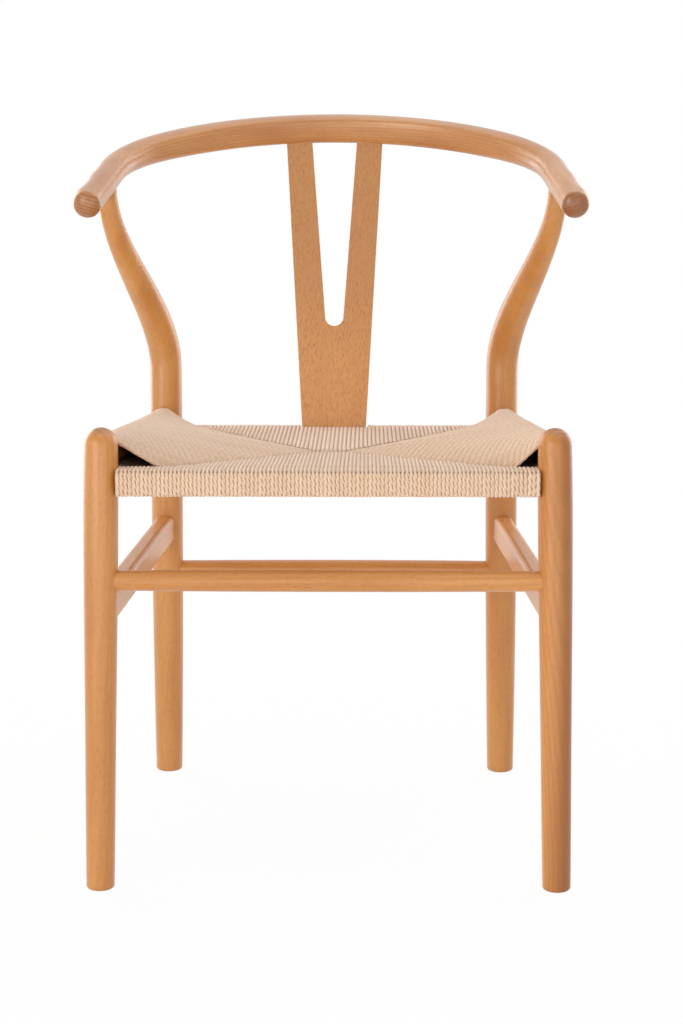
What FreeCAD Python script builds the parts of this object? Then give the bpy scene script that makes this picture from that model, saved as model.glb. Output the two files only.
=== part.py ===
import FreeCAD, Part
import math
import os

# Wishbone chair: four legs, a bow that makes both arms and the top of the back, a forked splat,
# four stretchers, four seat rails and a seat of paper cord woven over them.
# Millimetres, +Z up. The front faces -Y, and left and right are as seen from the front, -X and +X.
# The origin is on the floor, under the middle of the chair's box.
# Depths named below are measured back from the axes of the front legs.

V = FreeCAD.Vector
UP = V(0, 0, 1)
ACROSS = V(1, 0, 0)

# Front legs, turned, with a domed top
FRONT_LEG_HEIGHT = 455.0
FRONT_FOOT_SPREAD = 447.4
FRONT_TOP_SPREAD = 430.6
FRONT_FOOT_DIAMETER = 27.6
FRONT_BELLY_DIAMETER = 33.2
FRONT_BELLY_HEIGHT = 340.0
FRONT_TOP_DIAMETER = 32.0
FRONT_LEG_STATIONS = 5
FOOT_ROUNDING = 3.5

# Rear legs, raked up to the seat, then bent outwards and forwards up to the arms
REAR_FOOT_SPREAD = 389.0
REAR_SEAT_SPREAD = 378.2
REAR_FOOT_DEPTH = 425.4
REAR_SEAT_DEPTH = 387.0
REAR_RAKE_HEIGHT = 420.0
REAR_BEND_START = 479.0
REAR_STRAIGHT_TOP = 13.0
REAR_SWELL_HEIGHT = 330.0
REAR_FOOT_DIAMETER = 30.2
REAR_SEAT_DIAMETER = 35.4
REAR_TOP_DIAMETER = 20.6
REAR_TAPER_POWER = 1.4
REAR_LEG_STATIONS = 29
AXIS_STEP = 1.0

# Bow: arms and top of the back in one tilted plane
BOW_TIP_SPREAD = 499.0
BOW_TIP_DEPTH = 192.0
BOW_BACK_DEPTH = 462.0
BOW_TIP_HEIGHT = 662.0
BOW_BACK_HEIGHT = 743.2
BOW_BACK_RADIUS = 278.0
BOW_SHOULDER_RADIUS = 150.0
ARM_FLARE_DEGREES = 6.5
ARM_DIAMETER = 29.0
ARM_DOME = 9.0
ARM_OVERHANG = 92.0
BACK_THICKNESS = 24.0
BACK_TALLNESS = 30.0
BACK_SECTION_POWER = 4.2
BACK_START_SHARE = 0.35
BACK_FULL_SHARE = 0.75
BOW_STATIONS = 33
SECTION_POINTS = 16
DOME_STATIONS = 6
DOME_SWEEP_SHARE = 0.88

# Back splat: a flat board, forked by a slot with a round end; its top widths are at the bow's middle
SPLAT_THICKNESS = 12.0
SPLAT_TOP_WIDTH = 110.8
SPLAT_FOOT_WIDTH = 71.5
SPLAT_FOOT_INSET = 6.5
SPLAT_EDGE_ROUNDING = 1.0
SLOT_TOP_WIDTH = 53.1
SLOT_END_WIDTH = 20.6
SLOT_END_HEIGHT = 531.0
PRONG_TENON_WIDTH = 18.0
PRONG_TENON_LENGTH = 26.0
PRONG_TENON_REACH = 4.0
SPLAT_TENON_THICKNESS = 7.0
SPLAT_TENON_WIDTH = 56.0
SPLAT_TENON_DEPTH = 11.0
SPLAT_TENON_ROOT = 12.0

# Seat rails
FRONT_RAIL_HEIGHT = 403.2
FRONT_RAIL_DEPTH = 24.0
FRONT_RAIL_TALLNESS = 19.0
REAR_RAIL_HEIGHT = 397.3
REAR_RAIL_FORWARD = 14.0
REAR_STRIP_DEPTH = 13.0
REAR_SLOT_DEPTH = 7.0
REAR_SEATING_DEPTH = 14.0
REAR_RAIL_TALLNESS = 17.8
REAR_SLOT_SIDE_ROOM = 1.75
SIDE_RAIL_FRONT_HEIGHT = 429.3
SIDE_RAIL_REAR_HEIGHT = 414.2
SIDE_RAIL_WIDTH = 18.0
SIDE_RAIL_TALLNESS = 24.0
CROSS_RAIL_ROUNDING = 3.0
SIDE_RAIL_ROUNDING = 6.5
RAIL_TENON_DIAMETER = 13.0

# Stretchers
FRONT_STRETCHER_HEIGHT = 307.2
REAR_STRETCHER_HEIGHT = 243.5
SPINDLE_MIDDLE_DIAMETER = 21.5
SPINDLE_END_DIAMETER = 19.4
SPINDLE_STATIONS = 7
SIDE_STRETCHER_FRONT_HEIGHT = 275.0
SIDE_STRETCHER_REAR_HEIGHT = 294.0
SIDE_STRETCHER_THICKNESS = 20.0
SIDE_STRETCHER_TALLNESS = 31.0
SIDE_STRETCHER_ROUNDING = 6.0
STRETCHER_TENON_DIAMETER = 11.5

# Joints between wooden pieces
ARM_TENON_DIAMETER = 11.0
ARM_TENON_LENGTH = 30.0
ARM_TENON_REACH = 6.0
JOINT_CLEARANCE = 0.1
MORTISE_RELIEF = 0.5

# Woven seat: one layer of cord over and under each rail, mitred at the corners
CORD_DIAMETER = 4.0
CORD_CLEARANCE = 0.3
MITRE_GAP = 0.3
STRIP_CORD_ROUNDING = 0.7
FRONT_WEAVE_INSET = 58.3
REAR_WEAVE_INSET = 30.4
RIDGE_WIDTH = 31.0
RIDGE_DEPTH = 194.0
FRONT_MITRE_DROP = 2.0
REAR_MITRE_DROP = 1.2
RIDGE_DROP = 9.5
PAD_THICKNESS = 18.0

# Tacks that hold the ends of the cord on the inner faces of the side rails
TACK_SHANK_DIAMETER = 1.6
TACK_SHANK_LENGTH = 12.0
TACK_HEAD_DIAMETER = 5.0
TACK_HEAD_THICKNESS = 1.0
TACK_PLACE_SHARES = (0.12, 0.86)

# Values that follow from the sizes above
BOW_RISE = BOW_BACK_HEIGHT - BOW_TIP_HEIGHT
BOW_RUN = BOW_BACK_DEPTH - BOW_TIP_DEPTH
BOW_LENGTH = math.hypot(BOW_RISE, BOW_RUN)
BOW_BACKWARD = V(0, BOW_RUN / BOW_LENGTH, BOW_RISE / BOW_LENGTH)
BOW_NORMAL = ACROSS.cross(BOW_BACKWARD)
BACK_DUAL_POWER = BACK_SECTION_POWER / (BACK_SECTION_POWER - 1)
BACK_REACH_TERMS = (BACK_THICKNESS * BOW_BACKWARD.y, BACK_TALLNESS * BOW_BACKWARD.z)
BACK_REACH = sum(abs(term) ** BACK_DUAL_POWER for term in BACK_REACH_TERMS) ** (1 / BACK_DUAL_POWER) / 2
MIDDLE_DEPTH = (BOW_BACK_DEPTH + BACK_REACH - FRONT_BELLY_DIAMETER / 2) / 2
REAR_RAIL_FRONT = REAR_SEAT_DEPTH - REAR_RAIL_FORWARD
REAR_RAIL_DEPTH = REAR_STRIP_DEPTH + REAR_SLOT_DEPTH + REAR_SEATING_DEPTH
SPLAT_FOOT_DEPTH = REAR_RAIL_FRONT + REAR_STRIP_DEPTH + REAR_SLOT_DEPTH + SPLAT_FOOT_INSET
REAR_RAIL_TOP = REAR_RAIL_HEIGHT + REAR_RAIL_TALLNESS / 2
CORD_OUTSIDE = CORD_CLEARANCE + CORD_DIAMETER
FRONT_LEG_WIDEST = max(FRONT_BELLY_DIAMETER, FRONT_TOP_DIAMETER)
FRONT_ROLL_TOP = FRONT_RAIL_HEIGHT + FRONT_RAIL_TALLNESS / 2 + CORD_OUTSIDE
FRONT_ROLL_BACK = max(FRONT_RAIL_DEPTH / 2 + CORD_OUTSIDE, FRONT_LEG_WIDEST / 2)
REAR_ROLL_TOP = REAR_RAIL_TOP + CORD_OUTSIDE
REAR_ROLL_FRONT = REAR_RAIL_FRONT - CORD_OUTSIDE
RIDGE_MIDDLE = FRONT_ROLL_TOP - RIDGE_DROP - PAD_THICKNESS / 2
REAR_SLOT_LENGTH = SPLAT_FOOT_WIDTH + 2 * REAR_SLOT_SIDE_ROOM


def at(across, depth, height):
    """The point this far to the right, behind the axes of the front legs and above the floor."""
    return V(across, depth - MIDDLE_DEPTH, height)


def blend(start, end, share):
    """The value, or the point, this share of the way from start to end."""
    return start + (end - start) * share


def smooth(share):
    """A share that leaves 0 and reaches 1 with no kink."""
    share = min(1, max(0, share))
    return share * share * (3 - 2 * share)


def signed_power(value, power):
    """The power of a value's size, with the value's sign."""
    return math.copysign(abs(value) ** power, value)


def mirrored(shape):
    """The same piece on the other side of the chair."""
    return shape.mirror(V(0, 0, 0), ACROSS)


def other_side(point):
    """The same point on the other side of the chair."""
    return V(-point.x, point.y, point.z)


def oval(centre, side, rise, width, height, power=2):
    """A closed smooth outline, an ellipse at power 2 and squarer above it."""
    points = []
    for step in range(SECTION_POINTS):
        angle = 2 * math.pi * step / SECTION_POINTS
        along = width / 2 * signed_power(math.cos(angle), 2 / power)
        above = height / 2 * signed_power(math.sin(angle), 2 / power)
        points.append(centre + side * along + rise * above)
    curve = Part.BSplineCurve()
    curve.interpolate(Points=points, PeriodicFlag=True)
    return Part.Wire(curve.toShape())


def rod(start, end, diameter):
    """A round bar from one point to another."""
    way = end - start
    return Part.makeCylinder(diameter / 2, way.Length, start, way)


def wrap_steps(corners, normals, radius):
    """Arcs round the corners, and the lines between them; each step is its two or three points."""
    steps = []
    for corner, meet, leave in zip(corners, normals, normals[1:]):
        first = corner + meet * radius
        if steps:
            steps.append((steps[-1][-1], first))
        steps.append((first, corner + (meet + leave).normalize() * radius, corner + leave * radius))
    return steps


def outline(steps, to_space):
    """The wire of steps drawn flat, put in space."""
    edges = []
    for step in steps:
        points = [to_space(point) for point in step]
        curve = Part.Arc(*points) if len(points) == 3 else Part.LineSegment(*points)
        edges.append(curve.toShape())
    return Part.Wire(edges)


def tangent_normal(corner, point, radius, turn):
    """The normal of the line from a point that touches a circle, on its upper (1) or lower (-1) side."""
    way = point - corner
    reach = way.Length
    way.normalize()
    lean = radius / reach
    return way * lean + V(-way.y, way.x) * (turn * math.sqrt(1 - lean * lean))


def rounded_bar(start, end, thickness, tallness, rounding):
    """A straight bar from one point to another, with its four long edges rounded."""
    way = end - start
    side = way.cross(UP).normalize()
    rise = side.cross(way).normalize()
    flat = thickness / 2 - rounding
    stand = tallness / 2 - rounding
    corners = [V(flat, stand), V(-flat, stand), V(-flat, -stand), V(flat, -stand)]
    normals = [V(1, 0), V(0, 1), V(-1, 0), V(0, -1), V(1, 0)]
    steps = wrap_steps(corners, normals, rounding)
    steps.append((steps[-1][-1], steps[0][0]))
    wire = outline(steps, lambda point: start + side * point.x + rise * point.y)
    return Part.Face(wire).extrude(way)


def slab(centre, side, rise, width, height, start, end):
    """A square-edged bar: a rectangle about a point, pushed along its normal from start to end."""
    way = side.cross(rise)
    corners = []
    for side_sign, rise_sign in ((-1, -1), (1, -1), (1, 1), (-1, 1), (-1, -1)):
        corner = centre + side * (side_sign * width / 2) + rise * (rise_sign * height / 2)
        corners.append(corner + way * start)
    return Part.Face(Part.makePolygon(corners)).extrude(way * (end - start))


def rounded_foot(leg):
    """The leg with the edge of its foot rounded."""
    edges = [edge for edge in leg.Edges if edge.BoundBox.ZMax < FOOT_ROUNDING]
    return leg.makeFillet(FOOT_ROUNDING, edges)


def front_leg_axis(height):
    """The point of the right front leg's axis at a height."""
    return at(blend(FRONT_FOOT_SPREAD, FRONT_TOP_SPREAD, height / FRONT_LEG_HEIGHT) / 2, 0, height)


def front_leg_diameter(height):
    """The thickness of the front leg at a height: swelling up to its belly, then a little thinner."""
    if height < FRONT_BELLY_HEIGHT:
        return blend(FRONT_FOOT_DIAMETER, FRONT_BELLY_DIAMETER, height / FRONT_BELLY_HEIGHT)
    share = (height - FRONT_BELLY_HEIGHT) / (FRONT_LEG_HEIGHT - FRONT_BELLY_HEIGHT)
    return blend(FRONT_BELLY_DIAMETER, FRONT_TOP_DIAMETER, share)


def front_leg():
    """The right front leg, without its mortises."""
    dome_radius = FRONT_TOP_DIAMETER / 2
    dome_height = FRONT_LEG_HEIGHT - dome_radius
    rings = []
    for station in range(FRONT_LEG_STATIONS):
        height = dome_height * station / (FRONT_LEG_STATIONS - 1)
        radius = dome_radius if height == dome_height else front_leg_diameter(height) / 2
        rings.append(Part.Wire(Part.makeCircle(radius, front_leg_axis(height), UP)))
    dome = Part.makeSphere(dome_radius, front_leg_axis(dome_height), UP, 0, 90)
    return rounded_foot(Part.makeLoft(rings, True).fuse(dome).removeSplitter())


def bow_point(flat):
    """The point in space of a point drawn in the bow's plane: across, and back from the arm tips."""
    return at(0, BOW_TIP_DEPTH, BOW_TIP_HEIGHT) + ACROSS * flat.x + BOW_BACKWARD * flat.y


def bow_plan():
    """The bow's right half in its plane: a wide arc at the back, a tighter shoulder and a straight arm.

    Gives the centres of the two arcs, the angles at which they meet, and the arm's outward normal.
    """
    flare = math.radians(ARM_FLARE_DEGREES)
    outward = V(math.cos(flare), math.sin(flare))
    along = V(-math.sin(flare), math.cos(flare))
    back_centre = V(0, BOW_LENGTH - BOW_BACK_RADIUS)
    start = V(BOW_TIP_SPREAD / 2, 0) - outward * BOW_SHOULDER_RADIUS - back_centre
    inset = BOW_BACK_RADIUS - BOW_SHOULDER_RADIUS
    half = start.dot(along)
    arm = math.sqrt(half * half - start.dot(start) + inset * inset) - half
    shoulder_centre = back_centre + start + along * arm
    way = shoulder_centre - back_centre
    return back_centre, shoulder_centre, math.atan2(way.y, way.x), flare


def bow_stretch():
    """The lengths of the right arm, the right shoulder and the right half of the back, along the bow."""
    _, shoulder_centre, turn, flare = bow_plan()
    arm_end = shoulder_centre + V(math.cos(flare), math.sin(flare)) * BOW_SHOULDER_RADIUS
    arm = (arm_end - V(BOW_TIP_SPREAD / 2, 0)).Length
    return arm, BOW_SHOULDER_RADIUS * (turn - flare), BOW_BACK_RADIUS * (math.pi / 2 - turn)


def bow_place(distance):
    """The flat point and outward normal of the bow, this far along it from the right arm's tip."""
    back_centre, shoulder_centre, turn, flare = bow_plan()
    arm, shoulder, back = bow_stretch()
    half = arm + shoulder + back
    if distance > half:
        flat, outward = bow_place(2 * half - distance)
        return other_side(flat), other_side(outward)
    if distance < arm:
        outward = V(math.cos(flare), math.sin(flare))
        return V(BOW_TIP_SPREAD / 2, 0) + V(-outward.y, outward.x) * distance, outward
    if distance < arm + shoulder:
        angle = flare + (distance - arm) / BOW_SHOULDER_RADIUS
        outward = V(math.cos(angle), math.sin(angle))
        return shoulder_centre + outward * BOW_SHOULDER_RADIUS, outward
    angle = turn + (distance - arm - shoulder) / BOW_BACK_RADIUS
    outward = V(math.cos(angle), math.sin(angle))
    return back_centre + outward * BOW_BACK_RADIUS, outward


def arm_joint():
    """The point of the right arm's axis that the rear leg comes up to."""
    return bow_point(bow_place(ARM_OVERHANG)[0])


def bow():
    """The bow without its mortises: round arms that flatten into the back, with domed tips."""
    half = sum(bow_stretch())
    sections = []
    for station in range(BOW_STATIONS):
        distance = 2 * half * station / (BOW_STATIONS - 1)
        flat, outward = bow_place(distance)
        share = min(distance, 2 * half - distance) / half
        flatness = smooth((share - BACK_START_SHARE) / (BACK_FULL_SHARE - BACK_START_SHARE))
        sections.append(oval(
            bow_point(flat), ACROSS * outward.x + BOW_BACKWARD * outward.y, BOW_NORMAL,
            blend(ARM_DIAMETER, BACK_THICKNESS, flatness),
            blend(ARM_DIAMETER, BACK_TALLNESS, flatness),
            blend(2, BACK_SECTION_POWER, flatness)))
    shape = Part.makeLoft(sections, True)
    flat, outward = bow_place(0)
    tip_way = ACROSS * outward.y - BOW_BACKWARD * outward.x
    rings = []
    for station in range(DOME_STATIONS):
        angle = math.pi / 2 * DOME_SWEEP_SHARE * station / (DOME_STATIONS - 1)
        centre = bow_point(flat) + tip_way * (ARM_DOME * math.sin(angle))
        width = ARM_DIAMETER * math.cos(angle)
        rings.append(oval(centre, ACROSS * outward.x + BOW_BACKWARD * outward.y, BOW_NORMAL, width, width))
    dome = Part.makeLoft(rings, True)
    return shape.fuse([dome, mirrored(dome)]).removeSplitter()


def rear_bend_share(height):
    """How far the rear leg has bent from the seat to the arm at a height, from 0 to 1."""
    bend_end = arm_joint().z - REAR_STRAIGHT_TOP
    return smooth((height - REAR_BEND_START) / (bend_end - REAR_BEND_START))


def rear_leg_axis(height):
    """The point of the right rear leg's axis at a height."""
    rake_share = min(1, height / REAR_RAKE_HEIGHT)
    across = blend(REAR_FOOT_SPREAD, REAR_SEAT_SPREAD, rake_share) / 2
    depth = blend(REAR_FOOT_DEPTH, REAR_SEAT_DEPTH, rake_share)
    straight = at(across, depth, height)
    top = arm_joint()
    return blend(straight, V(top.x, top.y, height), rear_bend_share(height))


def rear_leg_diameter(height):
    """The thickness of the rear leg at a height: swelling up to the seat, then tapering to the arm."""
    swell_share = min(1, height / REAR_SWELL_HEIGHT)
    swollen = blend(REAR_FOOT_DIAMETER, REAR_SEAT_DIAMETER, 1 - (1 - swell_share) ** 2)
    return blend(swollen, REAR_TOP_DIAMETER, rear_bend_share(height) ** REAR_TAPER_POWER)


def rear_leg():
    """The right rear leg up to the middle of the arm, without its mortises and its top tenon."""
    rings = []
    for station in range(REAR_LEG_STATIONS):
        height = arm_joint().z * station / (REAR_LEG_STATIONS - 1)
        way = rear_leg_axis(height + AXIS_STEP) - rear_leg_axis(height - AXIS_STEP)
        if height == 0:
            way = UP
        rise = way.cross(ACROSS).normalize()
        side = rise.cross(way).normalize()
        diameter = rear_leg_diameter(height)
        rings.append(oval(rear_leg_axis(height), side, rise, diameter, diameter))
    return rounded_foot(Part.makeLoft(rings, True))


def arm_tenon(grow, relief):
    """The round tenon between a rear leg and the arm, or with growth and relief its mortise."""
    top = arm_joint()
    start = top - UP * ARM_TENON_LENGTH
    return rod(start, top + UP * (ARM_TENON_REACH + relief), ARM_TENON_DIAMETER + 2 * grow)


def splat_frame():
    """The middle of the splat's foot, the direction up the board, and the board's length to the bow."""
    foot = at(0, SPLAT_FOOT_DEPTH, REAR_RAIL_TOP)
    way = bow_point(V(0, BOW_LENGTH)) - foot
    length = way.Length
    return foot, way.normalize(), length


def splat_tenons(grow, relief):
    """The splat's tenons, or with growth and relief their mortises: two for the bow, one for the rail."""
    foot, way, length = splat_frame()
    side = ACROSS
    face = way.cross(side)
    thickness = SPLAT_TENON_THICKNESS + 2 * grow
    prong_middle = (SPLAT_TOP_WIDTH + SLOT_TOP_WIDTH) / 4
    prong_width = PRONG_TENON_WIDTH + 2 * grow
    start = length - PRONG_TENON_LENGTH
    end = length + PRONG_TENON_REACH + relief
    tenons = []
    for sign in (-1, 1):
        centre = foot + side * (sign * prong_middle)
        tenons.append(slab(centre, side, face, prong_width, thickness, start, end))
    foot_width = SPLAT_TENON_WIDTH + 2 * grow
    tenons.append(slab(foot, side, face, foot_width, thickness, -SPLAT_TENON_DEPTH - relief, SPLAT_TENON_ROOT))
    return tenons


def splat():
    """The forked board from inside the rear rail to the middle of the bow, without its tenons."""
    foot, way, length = splat_frame()
    face = way.cross(ACROSS)
    below = -SPLAT_TENON_DEPTH / 2
    slot_end = V(0, (SLOT_END_HEIGHT - foot.z) / way.z)
    slot_top = V(SLOT_TOP_WIDTH / 2, length)
    slot_normal = tangent_normal(slot_end, slot_top, SLOT_END_WIDTH / 2, -1)
    slot_side = slot_end + slot_normal * (SLOT_END_WIDTH / 2)
    slot_low = slot_end - V(0, SLOT_END_WIDTH / 2)
    foot_side = V(SPLAT_FOOT_WIDTH / 2, below)
    top_side = V(SPLAT_TOP_WIDTH / 2, length)
    right = [foot_side, top_side, slot_top, slot_side]
    left = [other_side(point) for point in reversed(right)]
    steps = list(zip(right, right[1:]))
    steps.append((slot_side, slot_low, left[0]))
    steps.extend(zip(left, left[1:]))
    steps.append((left[-1], foot_side))
    back = -SPLAT_THICKNESS / 2
    wire = outline(steps, lambda point: foot + ACROSS * point.x + way * point.y + face * back)
    board = Part.Face(wire).extrude(face * SPLAT_THICKNESS)
    broad_faces = sorted(board.Faces, key=lambda side: side.Area)[-2:]
    return board.makeFillet(SPLAT_EDGE_ROUNDING, [edge for side in broad_faces for edge in side.Edges])


def spindle(start, end):
    """A turned stretcher, thickest in the middle, from one leg's axis to another's."""
    way = end - start
    side = way.cross(UP).normalize()
    rise = side.cross(way).normalize()
    rings = []
    for station in range(SPINDLE_STATIONS):
        share = station / (SPINDLE_STATIONS - 1)
        swell_share = 1 - (2 * share - 1) ** 2
        diameter = blend(SPINDLE_END_DIAMETER, SPINDLE_MIDDLE_DIAMETER, swell_share)
        rings.append(oval(blend(start, end, share), side, rise, diameter, diameter))
    return Part.makeLoft(rings, True)


def side_rail_axis(depth):
    """The point of the right side rail's axis at a depth."""
    start = front_leg_axis(SIDE_RAIL_FRONT_HEIGHT)
    end = rear_leg_axis(SIDE_RAIL_REAR_HEIGHT)
    return blend(start, end, (depth - MIDDLE_DEPTH - start.y) / (end.y - start.y))


def tenoned(body, start, end, diameter, legs):
    """A rail or stretcher shouldered on its two legs, with a round tenon into each."""
    for leg in legs:
        body = body.cut(leg)
    return body.fuse(rod(start, end, diameter)).removeSplitter()


def mortise(start, end, diameter):
    """The hole for a tenon that runs from one leg's axis to another's, a little wider and deeper."""
    way = (end - start).normalize()
    return rod(start - way * MORTISE_RELIEF, end + way * MORTISE_RELIEF, diameter + 2 * JOINT_CLEARANCE)


def cord_section(half_width, half_height, rounding, tip_top, tip_bottom, under, to_space):
    """The outline of one lay of cord: from the mitre over a rail, round its outer side and back below.

    Drawn about the rail's middle, with the first coordinate towards the middle of the seat.
    With under, the cord also lies along the rail's underside; without, it leaves from the outer edge.
    """
    flat = half_width - rounding
    stand = half_height - rounding
    corners = [V(flat, stand), V(-flat, stand), V(-flat, -stand)]
    normals = [V(0, 1), V(-1, 0)]
    if under:
        corners.append(V(flat, -stand))
        normals.append(V(0, -1))
    outer = rounding + CORD_OUTSIDE
    first = tangent_normal(corners[0], tip_top, outer, 1)
    last = tangent_normal(corners[-1], tip_bottom, outer, -1)
    normals = [first] + normals + [last]
    outside = wrap_steps(corners, normals, outer)
    inside = wrap_steps(corners, normals, rounding + CORD_CLEARANCE)
    inner_top = tip_top - V(0, CORD_DIAMETER / first.y)
    inner_bottom = tip_bottom - V(0, CORD_DIAMETER / last.y)
    steps = [(tip_top, outside[0][0])] + outside
    steps += [(steps[-1][-1], tip_bottom), (tip_bottom, inner_bottom), (inner_bottom, inside[-1][-1])]
    steps += [tuple(reversed(step)) for step in reversed(inside)]
    steps += [(inside[0][0], inner_top), (inner_top, tip_top)]
    return outline(steps, to_space)


def ridge(face):
    """The right end of the ridge where all four fields meet, on the seat's top (1) or underside (-1)."""
    return at(RIDGE_WIDTH / 2, RIDGE_DEPTH, RIDGE_MIDDLE + face * PAD_THICKNESS / 2)


def front_mitre(share, face=1):
    """A point of the front right mitre, from the front corner (0) to the ridge (1), on a face of the seat."""
    rise = FRONT_ROLL_TOP - FRONT_MITRE_DROP - FRONT_RAIL_HEIGHT
    across = front_leg_axis(FRONT_RAIL_HEIGHT).x - FRONT_WEAVE_INSET
    corner = at(across, FRONT_ROLL_BACK + MITRE_GAP, FRONT_RAIL_HEIGHT + face * rise)
    return blend(corner, ridge(face), share)


def rear_mitre(share, face=1):
    """A point of the rear right mitre, from the rear corner (0) to the ridge (1), on a face of the seat."""
    rise = REAR_ROLL_TOP - REAR_MITRE_DROP - REAR_RAIL_HEIGHT
    across = rear_leg_axis(REAR_RAIL_HEIGHT).x - REAR_WEAVE_INSET
    side_roll_top = SIDE_RAIL_REAR_HEIGHT + SIDE_RAIL_TALLNESS / 2 + CORD_OUTSIDE
    leg_front = rear_leg_axis(side_roll_top).y + MIDDLE_DEPTH - REAR_SEAT_DIAMETER / 2
    depth = min(REAR_ROLL_FRONT, leg_front) - MITRE_GAP
    return blend(at(across, depth, REAR_RAIL_HEIGHT + face * rise), ridge(face), share)


def cross_section(across, top, bottom, middle, half_depth, half_height, rounding, inward):
    """A lay of cord over the front or rear rail, at a place along it, out to two points of the mitre."""
    reach = (top.y - middle.y) * inward - MITRE_GAP / 2
    tip_top = V(reach, top.z - middle.z)
    tip_bottom = V(reach, bottom.z - middle.z)
    return cord_section(
        half_depth, half_height, rounding, tip_top, tip_bottom, True,
        lambda point: V(across, middle.y + inward * point.x, middle.z + point.y))


def front_weave():
    """The cord over the front rail: strands to the mitres and, next to each leg, plain turns."""
    middle = at(0, 0, FRONT_RAIL_HEIGHT)
    end = front_leg_axis(FRONT_ROLL_TOP).x - FRONT_LEG_WIDEST / 2 - CORD_CLEARANCE
    right =[(end, 0), (front_mitre(0).x, 0), (front_mitre(1).x, 1)]
    places = [(-across, share) for across, share in right] + list(reversed(right))
    sections = []
    for across, share in places:
        sections.append(cross_section(
            across, front_mitre(share), front_mitre(share, -1), middle,
            FRONT_RAIL_DEPTH / 2, FRONT_RAIL_TALLNESS / 2, CROSS_RAIL_ROUNDING, 1))
    return Part.makeLoft(sections, True, True)


def rear_weave():
    """The cord over the rear rail from leg to leg; in front of the splat it goes through the rail's slot."""
    corner_side = rear_mitre(0).x
    ridge_side = rear_mitre(1).x
    slot_side = REAR_SLOT_LENGTH / 2
    slot_share = (corner_side - slot_side) / (corner_side - ridge_side)
    half_height = REAR_RAIL_TALLNESS / 2
    whole = at(0, REAR_RAIL_FRONT + REAR_RAIL_DEPTH / 2, REAR_RAIL_HEIGHT)
    strip = at(0, REAR_RAIL_FRONT + REAR_STRIP_DEPTH / 2, REAR_RAIL_HEIGHT)
    end = rear_leg_axis(REAR_ROLL_TOP).x - REAR_SEAT_DIAMETER / 2 - CORD_CLEARANCE
    flank = []
    for across, share in ((end, 0), (corner_side, 0), (slot_side, slot_share)):
        flank.append(cross_section(
            across, rear_mitre(share), rear_mitre(share, -1), whole,
            REAR_RAIL_DEPTH / 2, half_height, CROSS_RAIL_ROUNDING, -1))
    right = Part.makeLoft(flank, True, True)
    centre = []
    for across, share in ((-slot_side, slot_share), (-ridge_side, 1), (ridge_side, 1), (slot_side, slot_share)):
        centre.append(cross_section(
            across, rear_mitre(share), rear_mitre(share, -1), strip,
            REAR_STRIP_DEPTH / 2, half_height, STRIP_CORD_ROUNDING, -1))
    return Part.makeLoft(centre, True, True).fuse([right, mirrored(right)]).removeSplitter()


def side_weave():
    """The cord over the right side rail, from its own line down to the two mitres."""
    sections = []
    for mitre, share in ((front_mitre, 0), (front_mitre, 1), (rear_mitre, 0)):
        top = mitre(share)
        middle = side_rail_axis(top.y + MIDDLE_DEPTH)
        reach = middle.x - top.x - MITRE_GAP / 2
        tip_top = V(reach, top.z - middle.z)
        tip_bottom = V(reach, mitre(share, -1).z - middle.z)
        sections.append(cord_section(
            SIDE_RAIL_WIDTH / 2, SIDE_RAIL_TALLNESS / 2, SIDE_RAIL_ROUNDING, tip_top, tip_bottom, False,
            lambda point: V(middle.x - point.x, top.y, middle.z + point.y)))
    return Part.makeLoft(sections, True, True)


def tacks(grow):
    """The tacks of the right side rail, or with growth their holes."""
    start = front_leg_axis(SIDE_RAIL_FRONT_HEIGHT)
    end = rear_leg_axis(SIDE_RAIL_REAR_HEIGHT)
    outward = (end - start).cross(UP).normalize()
    shapes = []
    for share in TACK_PLACE_SHARES:
        seat = blend(start, end, share) - outward * (SIDE_RAIL_WIDTH / 2)
        shank = rod(seat, seat + outward * (TACK_SHANK_LENGTH + grow), TACK_SHANK_DIAMETER + 2 * grow)
        head = rod(seat - outward * TACK_HEAD_THICKNESS, seat, TACK_HEAD_DIAMETER)
        shapes.append(shank if grow else shank.fuse(head).removeSplitter())
    return shapes


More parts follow.
